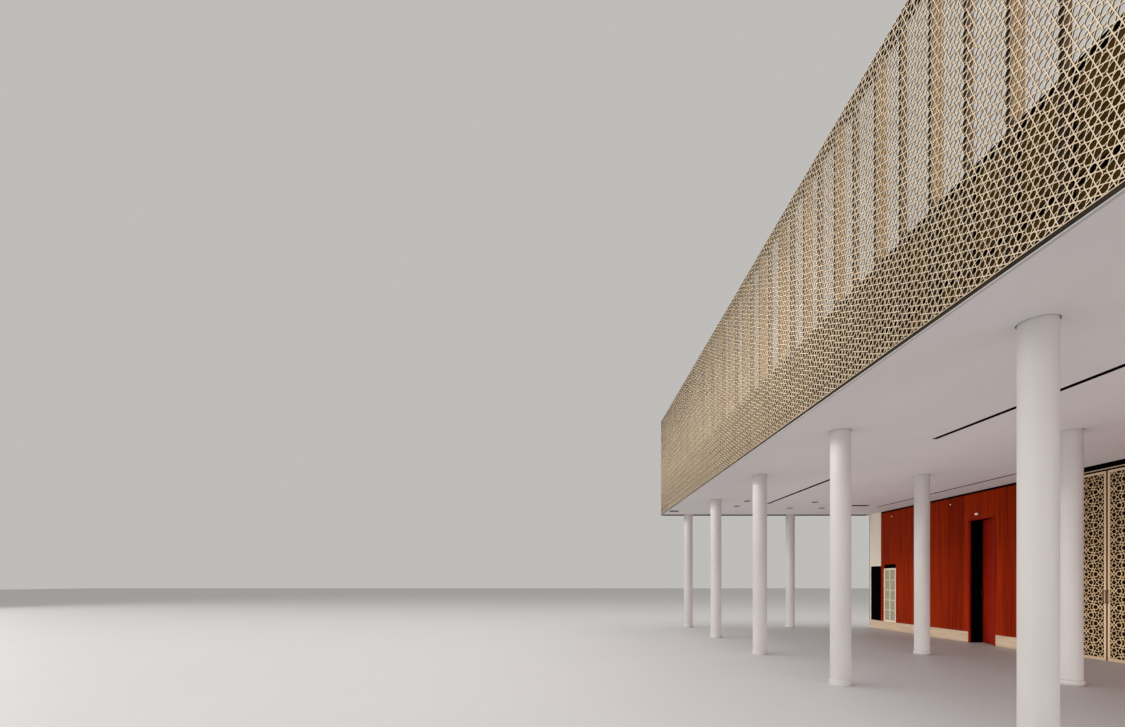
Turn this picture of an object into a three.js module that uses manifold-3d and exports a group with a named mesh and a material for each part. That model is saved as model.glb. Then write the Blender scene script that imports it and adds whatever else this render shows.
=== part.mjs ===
// Prayer hall gallery: a raised gallery on two rows of round columns. A tall lattice screen stands along
// its open edge, and a clad side wall with a tall pair of lattice doors carries its back edge.
// Millimetres, +Z up. X runs from the screen to the side wall, Y along the gallery, Z = 0 is the floor.

import * as THREE from 'three';
import { mergeVertices } from 'three/addons/utils/BufferGeometryUtils.js';
import Module from 'manifold-3d';

const wasm = await Module();
wasm.setup();

// Driving dimensions. X is measured here from the front face of the lattice.
const repeat = 150; // one eight-pointed star of the lattice
const panelWidth = 3 * repeat;
const bayLength = 8 * panelWidth;
const bayCount = 5;
const endOverhang = panelWidth / 2; // past the last pair of columns
const screenRows = 22; // stars from bottom to top

const columnDiameter = 2 * repeat;
const frontRowX = 930;
const rearRowX = 4520;
const claddingFaceX = 7260;
const doorFaceX = 7500;
const wallBackX = 7660;

const soffitZ = 3950;
const soffitThickness = 50;
const slabThickness = 250;
const guardTopZ = 5090;
const wallHalfLength = 8910;
const fit = 0.3; // gap between faces that meet

// Worked out from the driving dimensions
const galleryHalfLength = (bayCount * bayLength) / 2 + endOverhang;
const slabZ = soffitZ + soffitThickness;
const galleryFloorZ = slabZ + slabThickness;
const screenTopZ = slabZ + screenRows * repeat;
const jointCount = (2 * galleryHalfLength) / panelWidth;
const firstPanelWidth = 2 * repeat; // the last panel takes what is left

function jointY(index) {
  if (index === 0) return -galleryHalfLength;
  if (index === jointCount) return galleryHalfLength;
  return -galleryHalfLength + firstPanelWidth + (index - 1) * panelWidth;
}

const finishes = {
  plaster: { color: '#d8d3cf', roughness: 0.75, metalness: 0 },
  concrete: { color: '#b9b4ae', roughness: 0.9, metalness: 0 },
  lattice: { color: '#d8c19b', roughness: 0.38, metalness: 0.85 },
  bronze: { color: '#5d4a38', roughness: 0.45, metalness: 0.8 },
  guard: { color: '#7d5c33', roughness: 0.5, metalness: 0.6 },
  roseGold: { color: '#d3a884', roughness: 0.35, metalness: 0.85 },
  redTimber: { color: '#8a2b12', roughness: 0.5, metalness: 0 },
  stone: { color: '#e2cbb3', roughness: 0.6, metalness: 0 },
  dark: { color: '#15110f', roughness: 0.6, metalness: 0 },
};

const hall = new THREE.Group();
hall.position.x = -wallBackX / 2;

function addMesh(name, geometry, finish, parent = hall) {
  const mesh = new THREE.Mesh(geometry, new THREE.MeshStandardMaterial(finishes[finish]));
  mesh.name = name;
  parent.add(mesh);
  return mesh;
}

function block([x0, x1], [y0, y1], [z0, z1]) {
  const geometry = new THREE.BoxGeometry(x1 - x0, y1 - y0, z1 - z0);
  return geometry.translate((x0 + x1) / 2, (y0 + y1) / 2, (z0 + z1) / 2);
}

// A block whose every face is drawn back a little, to sit between neighbours that it touches
function fittedBlock(x, y, z) {
  const drawnBack = [x, y, z].map(([low, high]) => [low === 0 ? 0 : low + fit / 2, high - fit / 2]);
  return block(...drawnBack);
}

function outline(points) {
  return new THREE.Shape(points.map(([a, b]) => new THREE.Vector2(a, b)));
}

function rectangle([a0, a1], [b0, b1]) {
  return outline([[a0, b0], [a1, b0], [a1, b1], [a0, b1]]);
}

function circleHole(x, y, radius, sides) {
  const hole = new THREE.Path();
  const start = Math.PI / sides;
  for (let i = 0; i < sides; i += 1) {
    const angle = start + (i * 2 * Math.PI) / sides;
    const point = [x + radius * Math.cos(angle), y + radius * Math.sin(angle)];
    if (i === 0) hole.moveTo(...point);
    else hole.lineTo(...point);
  }
  hole.closePath();
  return hole;
}

// Extrudes an outline drawn in Y and Z along X
function extrudeAlongX(shape, [x0, x1]) {
  const geometry = new THREE.ExtrudeGeometry(shape, { depth: x1 - x0, bevelEnabled: false });
  const turn = new THREE.Matrix4().makeBasis(
    new THREE.Vector3(0, 1, 0),
    new THREE.Vector3(0, 0, 1),
    new THREE.Vector3(1, 0, 0),
  );
  return geometry.applyMatrix4(turn).translate(x0, 0, 0);
}

function extrudeUp(shape, [z0, z1]) {
  const geometry = new THREE.ExtrudeGeometry(shape, { depth: z1 - z0, bevelEnabled: false });
  return geometry.translate(0, 0, z0);
}

function toSolid(geometry) {
  const bare = geometry.clone();
  bare.deleteAttribute('normal');
  bare.deleteAttribute('uv');
  const merged = mergeVertices(bare, 0.001);
  return new wasm.Manifold(new wasm.Mesh({
    numProp: 3,
    vertProperties: Float32Array.from(merged.attributes.position.array),
    triVerts: Uint32Array.from(merged.index.array),
  }));
}

function fuse(geometries) {
  const solid = geometries.map(toSolid).reduce((sum, next) => sum.add(next));
  const mesh = solid.getMesh();
  const geometry = new THREE.BufferGeometry();
  geometry.setAttribute('position', new THREE.BufferAttribute(mesh.vertProperties, 3));
  geometry.setIndex(new THREE.BufferAttribute(mesh.triVerts, 1));
  geometry.computeVertexNormals();
  return geometry;
}

// Round columns on low collars; each rises through the ceiling lining to the slab
const columnSides = 16;
const collar = { radius: columnDiameter / 2 + 15, height: 80 };
const shadowGap = 12;
const columnPlaces = [];
for (let k = 0; k <= bayCount; k += 1) {
  const y = (k - bayCount / 2) * bayLength;
  columnPlaces.push({ name: `front_column_${k + 1}`, x: frontRowX, y });
  columnPlaces.push({ name: `rear_column_${k + 1}`, x: rearRowX, y });
}

function addColumns() {
  const r = columnDiameter / 2;
  const profile = [[0, 0], [collar.radius, 0], [collar.radius, collar.height], [r, collar.height],
    [r, slabZ - fit], [0, slabZ - fit]];
  for (const { name, x, y } of columnPlaces) {
    const geometry = new THREE.LatheGeometry(profile.map(([a, b]) => new THREE.Vector2(a, b)), columnSides);
    geometry.rotateX(Math.PI / 2).translate(x, y, 0);
    addMesh(name, geometry, 'plaster');
  }
}

// Ceiling lining under the slab, with a round hole at each column and three long air slots
const edgeDepth = 30; // the bronze edge in front of the lining
const airSlots = [
  { x: 2710, width: 90, y: [-5720, -1320] },
  { x: 2710, width: 90, y: [1820, 6220] },
  { x: 6430, width: 70, y: [1220, 6970] },
];

function addDeck() {
  const liningEndX = claddingFaceX + 40 - fit;
  const lining = rectangle([edgeDepth + fit, liningEndX], [-galleryHalfLength, galleryHalfLength]);
  for (const { x, y } of columnPlaces) {
    lining.holes.push(circleHole(x, y, columnDiameter / 2 + shadowGap, columnSides));
  }
  for (const { x, width, y } of airSlots) {
    lining.holes.push(rectangle([x - width / 2, x + width / 2], y));
  }
  addMesh('ceiling_lining', extrudeUp(lining, [soffitZ, slabZ - fit]), 'plaster');

  const length = [-galleryHalfLength, galleryHalfLength];
  addMesh('gallery_slab', block([guard.x[1], wallBackX], length, [slabZ, galleryFloorZ]), 'concrete');
  addMesh('edge_fascia', block([0, edgeDepth], length, [soffitZ, slabZ - fit]), 'bronze');
}

// Solid guard behind the lower part of the screen, grooved behind every upright
const guard = { x: [70, 170], grooveWidth: 85, grooveDepth: 12 };

function addGuard() {
  const front = guard.x[0] + fit;
  const back = guard.x[1] - fit;
  const points = [[back, galleryHalfLength], [back, -galleryHalfLength]];
  const halfGroove = guard.grooveWidth / 2;
  points.push([front, -galleryHalfLength]);
  for (let j = 1; j < jointCount; j += 1) {
    const y = uprightY(j);
    points.push([front, y - halfGroove], [front + guard.grooveDepth, y - halfGroove]);
    points.push([front + guard.grooveDepth, y + halfGroove], [front, y + halfGroove]);
  }
  points.push([front, galleryHalfLength]);
  addMesh('edge_guard', extrudeUp(outline(points), [slabZ, guardTopZ]), 'guard');
}

// The screen: upright fins and lighter mullions between two rails, with the lattice in front of them
const latticeDepth = 9;
const upright = { width: 38, beyondJoint: 15, depthX: [latticeDepth + fit, 69.5] };
const fin = { width: 14, depthX: [30, 128] }; // a plate behind every second upright, above the guard
const railHeight = 40;
const screenSections = [[0, 8], [8, 16], [16, 25], [25, 33], [33, 41]]; // panel joints
const coarseRows = 7; // openings from bottom to top in one panel
const coarseBar = 60;

// The end uprights stand wholly inside the screen's length, the others a little beyond their joint
function uprightY(joint) {
  const half = upright.width / 2;
  if (joint === 0) return jointY(joint) + half;
  if (joint === jointCount) return jointY(joint) - half;
  return jointY(joint) + upright.beyondJoint;
}

function addScreenFrame(index, [first, last]) {
  const isLast = last === jointCount;
  const joints = Array.from({ length: last - first + (isLast ? 1 : 0) }, (_, i) => first + i);
  const y = [jointY(first), isLast ? jointY(last) : uprightY(last) - upright.width / 2];
  const inset = 1; // rails are a little slimmer than the uprights that they run through
  const railY = [y[0] + inset, y[1] - inset];
  const railX = [upright.depthX[0] + inset, guard.x[0] - inset]; // the bottom rail reaches back to the guard
  const topRailZ = [screenTopZ - railHeight, screenTopZ - inset];

  const parts = [
    block(railX, railY, [slabZ + inset, slabZ + railHeight]),
    block([railX[0], fin.depthX[1] - inset], railY, topRailZ),
  ];
  for (const joint of joints) {
    const centre = uprightY(joint);
    const half = upright.width / 2;
    parts.push(block(upright.depthX, [centre - half, centre + half], [slabZ, screenTopZ]));
    const isFin = joint === 0 || joint % 2 === 1;
    const finY = [centre - half + inset, centre - half + inset + fin.width];
    if (isFin) parts.push(block(fin.depthX, finY, [guardTopZ + fit, screenTopZ - 2 * inset]));
  }
  addMesh(`screen_frame_${index}`, fuse(parts), 'bronze');
}

// Eight-sided openings stand for the fine eight-pointed stars
function octagon(centreY, centreZ, halfWidth, halfHeight) {
  const cut = 2 - Math.SQRT2;
  const y = [halfWidth * (1 - cut), halfWidth];
  const z = [halfHeight * (1 - cut), halfHeight];
  const corners = [[y[1], -z[0]], [y[1], z[0]], [y[0], z[1]], [-y[0], z[1]],
    [-y[1], z[0]], [-y[1], -z[0]], [-y[0], -z[1]], [y[0], -z[1]]];
  return outline(corners.map(([a, b]) => [centreY + a, centreZ + b]));
}

function addScreenLattice(index, [first, last]) {
  const sheet = rectangle([jointY(first) + fit / 2, jointY(last) - fit / 2], [slabZ, screenTopZ]);
  const rowHeight = (screenTopZ - slabZ) / coarseRows;
  for (let j = first; j < last; j += 1) {
    for (let row = 0; row < coarseRows; row += 1) {
      const centreY = (jointY(j) + jointY(j + 1)) / 2;
      const centreZ = slabZ + (row + 0.5) * rowHeight;
      const halfWidth = (jointY(j + 1) - jointY(j) - coarseBar) / 2;
      const halfHeight = (rowHeight - coarseBar) / 2;
      sheet.holes.push(octagon(centreY, centreZ, halfWidth, halfHeight));
    }
  }
  addMesh(`screen_lattice_${index}`, extrudeAlongX(sheet, [0, latticeDepth]), 'lattice');
}

// Side wall. The lattice doors stand in a recess that reaches up to the slab.
const claddingDepth = 40;
const wallX = [claddingFaceX + claddingDepth, wallBackX];
const latticeDoorway = { y: [-372, 1700], topZ: 3930 };
const redDoorway = { y: [3230, 4150], topZ: 3250 };
const skirtingTopZ = 280;
const cladTopZ = soffitZ - fit;
const airPanel = { y: [7360, 8030], topZ: 2040 };
const redEndY = 8200;
const darkPanel = { y: [redEndY + fit, 8820], topZ: 2130 };

function addWall() {
  const ends = [-wallHalfLength, wallHalfLength];
  const height = [0, slabZ];
  addMesh('wall_near', fittedBlock(wallX, [ends[0], latticeDoorway.y[0]], height), 'plaster');
  addMesh('wall_over_lattice_doors',
    fittedBlock([doorFaceX, wallBackX], latticeDoorway.y, [latticeDoorway.topZ, slabZ]), 'plaster');
  addMesh('wall_middle', fittedBlock(wallX, [latticeDoorway.y[1], redDoorway.y[0]], height), 'plaster');
  addMesh('wall_over_doorway', fittedBlock(wallX, redDoorway.y, [redDoorway.topZ, slabZ]), 'plaster');
  addMesh('wall_far', fittedBlock(wallX, [redDoorway.y[1], ends[1]], height), 'plaster');
}

function addCladding() {
  const x = [claddingFaceX, claddingFaceX + claddingDepth - fit];
  const bottom = skirtingTopZ + fit;
  const nearY = [-wallHalfLength, latticeDoorway.y[0]];
  addMesh('red_cladding_near', block(x, nearY, [bottom, cladTopZ]), 'redTimber');

  const panel = outline([
    [latticeDoorway.y[1], bottom], [redDoorway.y[0] - fit, bottom],
    [redDoorway.y[0] - fit, redDoorway.topZ + fit], [redDoorway.y[1] + fit, redDoorway.topZ + fit],
    [redDoorway.y[1] + fit, bottom], [airPanel.y[0] - fit, bottom],
    [airPanel.y[0] - fit, airPanel.topZ + fit], [airPanel.y[1] + fit, airPanel.topZ + fit],
    [airPanel.y[1] + fit, bottom], [redEndY - fit, bottom],
    [redEndY - fit, cladTopZ], [latticeDoorway.y[1], cladTopZ],
  ]);
  addMesh('red_cladding_far', extrudeAlongX(panel, x), 'redTimber');

  const lining = outline([
    [redEndY, darkPanel.topZ + fit], [darkPanel.y[1] + fit, darkPanel.topZ + fit],
    [darkPanel.y[1] + fit, bottom], [wallHalfLength, bottom],
    [wallHalfLength, cladTopZ], [redEndY, cladTopZ],
  ]);
  addMesh('end_lining', extrudeAlongX(lining, x), 'plaster');
  addMesh('air_panel', block(x, airPanel.y, [bottom, airPanel.topZ]), 'stone');
  addMesh('dark_panel', block([x[0] + 15, x[1]], darkPanel.y, [bottom, darkPanel.topZ]), 'dark');

  addMesh('skirting_near', block(x, nearY, [0, skirtingTopZ]), 'stone');
  addMesh('skirting_middle', block(x, [latticeDoorway.y[1], redDoorway.y[0] - fit], [0, skirtingTopZ]), 'stone');
  addMesh('skirting_far', block(x, [redDoorway.y[1] + fit, wallHalfLength], [0, skirtingTopZ]), 'stone');
}

// A door lining that runs up both sides and over the top
function doorLining({ y, topZ }, thickness) {
  return outline([
    [y[0] + fit, 0], [y[0] + thickness, 0], [y[0] + thickness, topZ - thickness],
    [y[1] - thickness, topZ - thickness], [y[1] - thickness, 0], [y[1] - fit, 0],
    [y[1] - fit, topZ - fit], [y[0] + fit, topZ - fit],
  ]);
}

// A bar that stands off a leaf on two short arms. Its leaf lies at +X of it.
const pull = { length: 260, bar: 20, reach: 55 };

function pullHandle(faceX, y, z) {
  const half = pull.bar / 2;
  const acrossY = [y - half, y + half];
  const back = faceX - fit;
  const grip = block([back - pull.reach, back - pull.reach + pull.bar], acrossY, [z, z + pull.length]);
  const arms = [z, z + pull.length - pull.bar].map((low) => (
    block([back - pull.reach + half, back], acrossY, [low, low + pull.bar])
  ));
  return fuse([grip, ...arms]);
}

// Continuous hinge along a door's edge. Its barrel runs clear of the corners of the leaf and the jamb.
const doorGap = 5;
const hingeSetOff = 6; // hinge line in front of the leaf's face
const barrel = { radius: Math.hypot(hingeSetOff, doorGap / 2) - fit, sides: 12 };

function addHinge(name, x, y, [z0, z1]) {
  const geometry = new THREE.CylinderGeometry(barrel.radius, barrel.radius, z1 - z0, barrel.sides);
  addMesh(name, geometry.rotateX(Math.PI / 2).translate(x, y, (z0 + z1) / 2), 'bronze');
}

// Tall pair of lattice doors. Each leaf is a framed panel, hinged at its jamb, and opens into the hall.
const leafDepth = 60;
const leafRail = 55;
const jambWidth = 60;
const pullZ = 1170;

function latticeLeaf(side) {
  const sign = side === 'near' ? 1 : -1;
  const jambY = side === 'near' ? latticeDoorway.y[0] + jambWidth : latticeDoorway.y[1] - jambWidth;
  const centreY = (latticeDoorway.y[0] + latticeDoorway.y[1]) / 2;
  const edges = [jambY + sign * doorGap, centreY - sign * doorGap].sort((a, b) => a - b);
  const height = [12, latticeDoorway.topZ - jambWidth - 6];
  const ring = rectangle(edges, height);
  const inner = [edges[0] + leafRail, edges[1] - leafRail];
  const innerZ = [height[0] + leafRail, height[1] - leafRail];
  ring.holes.push(rectangle(inner, innerZ));
  const x = [doorFaceX, doorFaceX + leafDepth];
  addMesh(`lattice_door_${side}_frame`, extrudeAlongX(ring, x), 'roseGold');

  const panelX = [x[0] + 12, x[1] - 12];
  const panelY = [inner[0] + fit, inner[1] - fit];
  addMesh(`lattice_door_${side}_panel`, block(panelX, panelY, [innerZ[0] + fit, innerZ[1] - fit]), 'dark');
  const pullY = centreY - sign * (doorGap + leafRail / 2);
  addMesh(`lattice_door_${side}_pull`, pullHandle(doorFaceX, pullY, pullZ), 'bronze');
  addHinge(`lattice_door_${side}_hinge`, doorFaceX - hingeSetOff, jambY + (sign * doorGap) / 2, height);
}

function addLatticeDoors() {
  const frame = doorLining(latticeDoorway, jambWidth);
  addMesh('lattice_door_surround', extrudeAlongX(frame, [doorFaceX, wallBackX]), 'roseGold');
  latticeLeaf('near');
  latticeLeaf('far');
}

// Plain red door, hinged at its near jamb. It opens away from the hall and stands ajar.
const redLining = 40;
const redLeaf = { depth: 45, faceX: 7300, ajarDegrees: 20 };

function addRedDoor() {
  const lining = doorLining(redDoorway, redLining);
  addMesh('red_door_surround', extrudeAlongX(lining, [claddingFaceX - 10, wallBackX]), 'redTimber');

  const hinge = new THREE.Group();
  const hingeX = redLeaf.faceX + redLeaf.depth + hingeSetOff;
  const hingeY = redDoorway.y[0] + redLining + fit + barrel.radius;
  hinge.position.set(hingeX, hingeY, 0);
  hinge.rotation.z = -THREE.MathUtils.degToRad(redLeaf.ajarDegrees);
  hall.add(hinge);

  const face = -hingeSetOff - redLeaf.depth;
  const leafY = [doorGap / 2, redDoorway.y[1] - redLining - 2 * doorGap - hingeY];
  const leafZ = [10, redDoorway.topZ - redLining - 6];
  addMesh('red_door_leaf', block([face, -hingeSetOff], leafY, leafZ), 'redTimber', hinge);
  addMesh('red_door_pull', pullHandle(face, leafY[1] - 60, pullZ), 'bronze', hinge);
  addHinge('red_door_hinge', hingeX, hingeY, leafZ);
}

addColumns();
addDeck();
addGuard();
screenSections.forEach((joints, i) => {
  addScreenFrame(i + 1, joints);
  addScreenLattice(i + 1, joints);
});
addWall();
addCladding();
addLatticeDoors();
addRedDoor();

export default hall;
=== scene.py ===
import math

import bmesh
import bpy
from mathutils import Matrix, Vector


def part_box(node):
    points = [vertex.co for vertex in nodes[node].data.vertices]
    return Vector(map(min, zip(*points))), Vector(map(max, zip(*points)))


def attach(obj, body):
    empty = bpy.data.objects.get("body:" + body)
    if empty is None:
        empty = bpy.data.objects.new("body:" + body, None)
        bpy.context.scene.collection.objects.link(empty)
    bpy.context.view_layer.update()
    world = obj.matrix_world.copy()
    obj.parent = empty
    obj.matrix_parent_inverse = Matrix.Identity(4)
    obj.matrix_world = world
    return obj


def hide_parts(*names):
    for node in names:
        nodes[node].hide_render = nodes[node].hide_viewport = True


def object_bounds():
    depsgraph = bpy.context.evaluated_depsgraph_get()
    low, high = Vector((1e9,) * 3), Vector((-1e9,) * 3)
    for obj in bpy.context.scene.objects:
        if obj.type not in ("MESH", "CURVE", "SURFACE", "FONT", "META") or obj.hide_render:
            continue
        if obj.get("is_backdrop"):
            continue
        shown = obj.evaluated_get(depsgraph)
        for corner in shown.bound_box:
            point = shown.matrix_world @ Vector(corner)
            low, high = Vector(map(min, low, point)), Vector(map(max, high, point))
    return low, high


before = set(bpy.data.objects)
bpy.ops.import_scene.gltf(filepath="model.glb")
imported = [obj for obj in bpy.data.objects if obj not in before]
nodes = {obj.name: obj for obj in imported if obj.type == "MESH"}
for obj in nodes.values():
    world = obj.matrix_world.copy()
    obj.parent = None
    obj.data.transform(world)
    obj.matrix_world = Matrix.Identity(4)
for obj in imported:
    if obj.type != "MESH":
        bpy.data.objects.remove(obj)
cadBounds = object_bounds()
scene = bpy.context.scene

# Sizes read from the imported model, in metres
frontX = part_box("edge_fascia")[0].x
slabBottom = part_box("gallery_slab")[0].z
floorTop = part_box("gallery_slab")[1].z
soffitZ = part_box("ceiling_lining")[0].z
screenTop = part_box("screen_lattice_1")[1].z
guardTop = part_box("edge_guard")[1].z
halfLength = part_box("gallery_slab")[1].y
fit = 0.0003  # gap between faces that meet


def side(distance):
    return frontX + distance


# Camera at the photograph's station: level, one-point view along the gallery
station = {"place": (-7.16, -10.38, 1.605), "lens": 17.6, "sensor": 36, "shift": (-0.0044, 0.1938),
           "clip": (0.1, 400)}
lensData = bpy.data.cameras.new("photoView")
lensData.lens = station["lens"]
lensData.sensor_width = station["sensor"]
lensData.shift_x, lensData.shift_y = station["shift"]
lensData.clip_start, lensData.clip_end = station["clip"]
camera = bpy.data.objects.new("photoView", lensData)
camera.location = station["place"]
camera.rotation_euler = (math.radians(90), 0, 0)
scene.collection.objects.link(camera)
scene.camera = camera
scene.view_settings.view_transform = "Standard"
print("camera ready")


# Shapes
def addBlock(bm, xs, ys, zs, bevel=0.0):
    size = Vector((xs[1] - xs[0], ys[1] - ys[0], zs[1] - zs[0]))
    centre = Vector((sum(xs), sum(ys), sum(zs))) / 2
    place = Matrix.Translation(centre) @ Matrix.Diagonal((*size, 1))
    made = bmesh.ops.create_cube(bm, size=1, matrix=place)
    if bevel:
        edges = list(dict.fromkeys(edge for vertex in made["verts"] for edge in vertex.link_edges))
        bmesh.ops.bevel(bm, geom=edges, offset=bevel, offset_type="OFFSET", segments=1, profile=0.5,
                        material=-1, affect="EDGES")


def extrudeFaces(bm, faces, reach):
    made = bmesh.ops.extrude_face_region(bm, geom=faces)
    moved = [item for item in made["geom"] if isinstance(item, bmesh.types.BMVert)]
    bmesh.ops.translate(bm, verts=moved, vec=reach)


def addPrism(bm, corners, reach):
    extrudeFaces(bm, [bm.faces.new([bm.verts.new(corner) for corner in corners])], reach)


# A flat plate with holes: the first loop is its outer edge
def addPlate(bm, loops, reach):
    edges = []
    for loop in loops:
        corners = [bm.verts.new(corner) for corner in loop]
        edges += [bm.edges.new((corners[i - 1], corners[i])) for i in range(len(corners))]
    filled = bmesh.ops.triangle_fill(bm, use_beauty=True, edges=edges)
    extrudeFaces(bm, [item for item in filled["geom"] if isinstance(item, bmesh.types.BMFace)], reach)


def addTurned(bm, profile, x, y, steps):
    start = [bm.verts.new((x + radius, y, z)) for radius, z in profile]
    edges = [bm.edges.new(pair) for pair in zip(start, start[1:])]
    bmesh.ops.spin(bm, geom=start + edges, cent=(x, y, 0), axis=(0, 0, 1), dvec=(0, 0, 0),
                   angle=2 * math.pi, steps=steps, use_merge=True)


def circle(x, y, z, radius, sides=48):
    turns = [2 * math.pi * (i + 0.5) / sides for i in range(sides)]
    return [(x + radius * math.cos(turn), y + radius * math.sin(turn), z) for turn in turns]


def rectangle(xs, ys, z):
    return [(xs[0], ys[0], z), (xs[1], ys[0], z), (xs[1], ys[1], z), (xs[0], ys[1], z)]


# Painted shade on a plate's cut faces: 0 on its front and back, a set level on its sides, up to 1 on those
# that look down, where shade falls
cutMark = {"facesFront": 0.7, "startsDown": 0.4, "gain": 2}
smoothing = {"weld": 1e-6, "sharpAngle": 35}


def paintSideShade(bm, cutEdges):
    layer = bm.faces.layers.float.new("cutEdge")
    for face in bm.faces:
        down = min(1, max(0, (-face.normal.z - cutMark["startsDown"]) * cutMark["gain"]))
        isFront = abs(face.normal.x) > cutMark["facesFront"]
        face[layer] = 0 if isFront else cutEdges + (1 - cutEdges) * down


def finishPiece(bm, name, material, body="gallery", smooth=False, instead=(), cutEdges=None):
    if smooth:
        bmesh.ops.remove_doubles(bm, verts=bm.verts, dist=smoothing["weld"])
    bmesh.ops.recalc_face_normals(bm, faces=bm.faces)
    if cutEdges is not None:
        paintSideShade(bm, cutEdges)
    mesh = bpy.data.meshes.new(name)
    bm.to_mesh(mesh)
    bm.free()
    if smooth:
        mesh.shade_smooth()
        mesh.set_sharp_from_angle(angle=math.radians(smoothing["sharpAngle"]))
    mesh.materials.append(material)
    piece = bpy.data.objects.new(name, mesh)
    scene.collection.objects.link(piece)
    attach(piece, body)
    if instead:
        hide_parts(*instead)
    return piece


# Materials: two tones mixed by stretched noise, a second noise in the roughness and a finer one as bump
common = {"detail": 4, "fineDetail": 3, "contrast": (0.35, 0.65), "wear": (6, 6, 6),
          "wearRange": (0.3, 0.7), "specular": 0.5, "bumpStrength": 0.6}


def makeMaterial(name, look):
    material = bpy.data.materials.new(name)
    material.use_nodes = True
    tree = material.node_tree
    shader = tree.nodes["Principled BSDF"]
    place = tree.nodes.new("ShaderNodeTexCoord").outputs["Object"]

    def noise(scale, detail):
        mapping = tree.nodes.new("ShaderNodeMapping")
        mapping.inputs["Scale"].default_value = scale
        tree.links.new(place, mapping.inputs["Vector"])
        texture = tree.nodes.new("ShaderNodeTexNoise")
        texture.inputs["Scale"].default_value = 1
        texture.inputs["Detail"].default_value = detail
        tree.links.new(mapping.outputs["Vector"], texture.inputs["Vector"])
        return texture.outputs["Fac"]

    def calculate(operation, first, second):
        node = tree.nodes.new("ShaderNodeMath")
        node.operation = operation
        for socket, value in zip(node.inputs, (first, second)):
            if isinstance(value, (int, float)):
                socket.default_value = value
            else:
                tree.links.new(value, socket)
        return node.outputs[0]

    tone = noise(look["grain"], look.get("detail", common["detail"]))
    if "boards" in look:
        axis, width, start, amount = look["boards"]
        parts = tree.nodes.new("ShaderNodeSeparateXYZ")
        tree.links.new(place, parts.inputs[0])
        along = calculate("SUBTRACT", parts.outputs[axis], start)
        count = calculate("FLOOR", calculate("DIVIDE", along, width), 0)
        chance = tree.nodes.new("ShaderNodeTexWhiteNoise")
        chance.noise_dimensions = "1D"
        tree.links.new(count, chance.inputs["W"])
        shift = calculate("MULTIPLY", calculate("SUBTRACT", chance.outputs["Value"], 0.5), amount)
        tone = calculate("ADD", tone, shift)
    ramp = tree.nodes.new("ShaderNodeValToRGB")
    positions = look.get("contrast", common["contrast"])
    for element, position, colour in zip(ramp.color_ramp.elements, positions, look["tones"]):
        element.position = position
        element.color = (*colour, 1)
    tree.links.new(tone, ramp.inputs["Fac"])
    surface = ramp.outputs["Color"]
    # Painted shade: the faces' shade mark mixes in a dark tone
    if "cut" in look:
        attribute = tree.nodes.new("ShaderNodeAttribute")
        attribute.attribute_name = "cutEdge"
        blend = tree.nodes.new("ShaderNodeMix")
        blend.data_type = "RGBA"
        blend.inputs[7].default_value = (*look["cut"], 1)  # sockets 6 and 7 are its two colours
        tree.links.new(attribute.outputs["Fac"], blend.inputs[0])
        tree.links.new(surface, blend.inputs[6])
        surface = blend.outputs[2]
    tree.links.new(surface, shader.inputs["Base Color"])

    gloss = tree.nodes.new("ShaderNodeMapRange")
    gloss.inputs["From Min"].default_value, gloss.inputs["From Max"].default_value = common["wearRange"]
    gloss.inputs["To Min"].default_value, gloss.inputs["To Max"].default_value = look["roughness"]
    wear = noise(look.get("wear", common["wear"]), common["fineDetail"])
    tree.links.new(wear, gloss.inputs["Value"])
    tree.links.new(gloss.outputs["Result"], shader.inputs["Roughness"])
    shader.inputs["Metallic"].default_value = look.get("metallic", 0)
    shader.inputs["Specular IOR Level"].default_value = look.get("specular", common["specular"])

    scale, distance = look["bump"]
    bump = tree.nodes.new("ShaderNodeBump")
    bump.inputs["Strength"].default_value = common["bumpStrength"]
    bump.inputs["Distance"].default_value = distance
    tree.links.new(noise(scale, common["fineDetail"]), bump.inputs["Height"])
    tree.links.new(bump.outputs["Normal"], shader.inputs["Normal"])
    if "glow" in look:
        shader.inputs["Emission Color"].default_value = (*look["glow"], 1)
        shader.inputs["Emission Strength"].default_value = look["glowStrength"]
    return material


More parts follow.
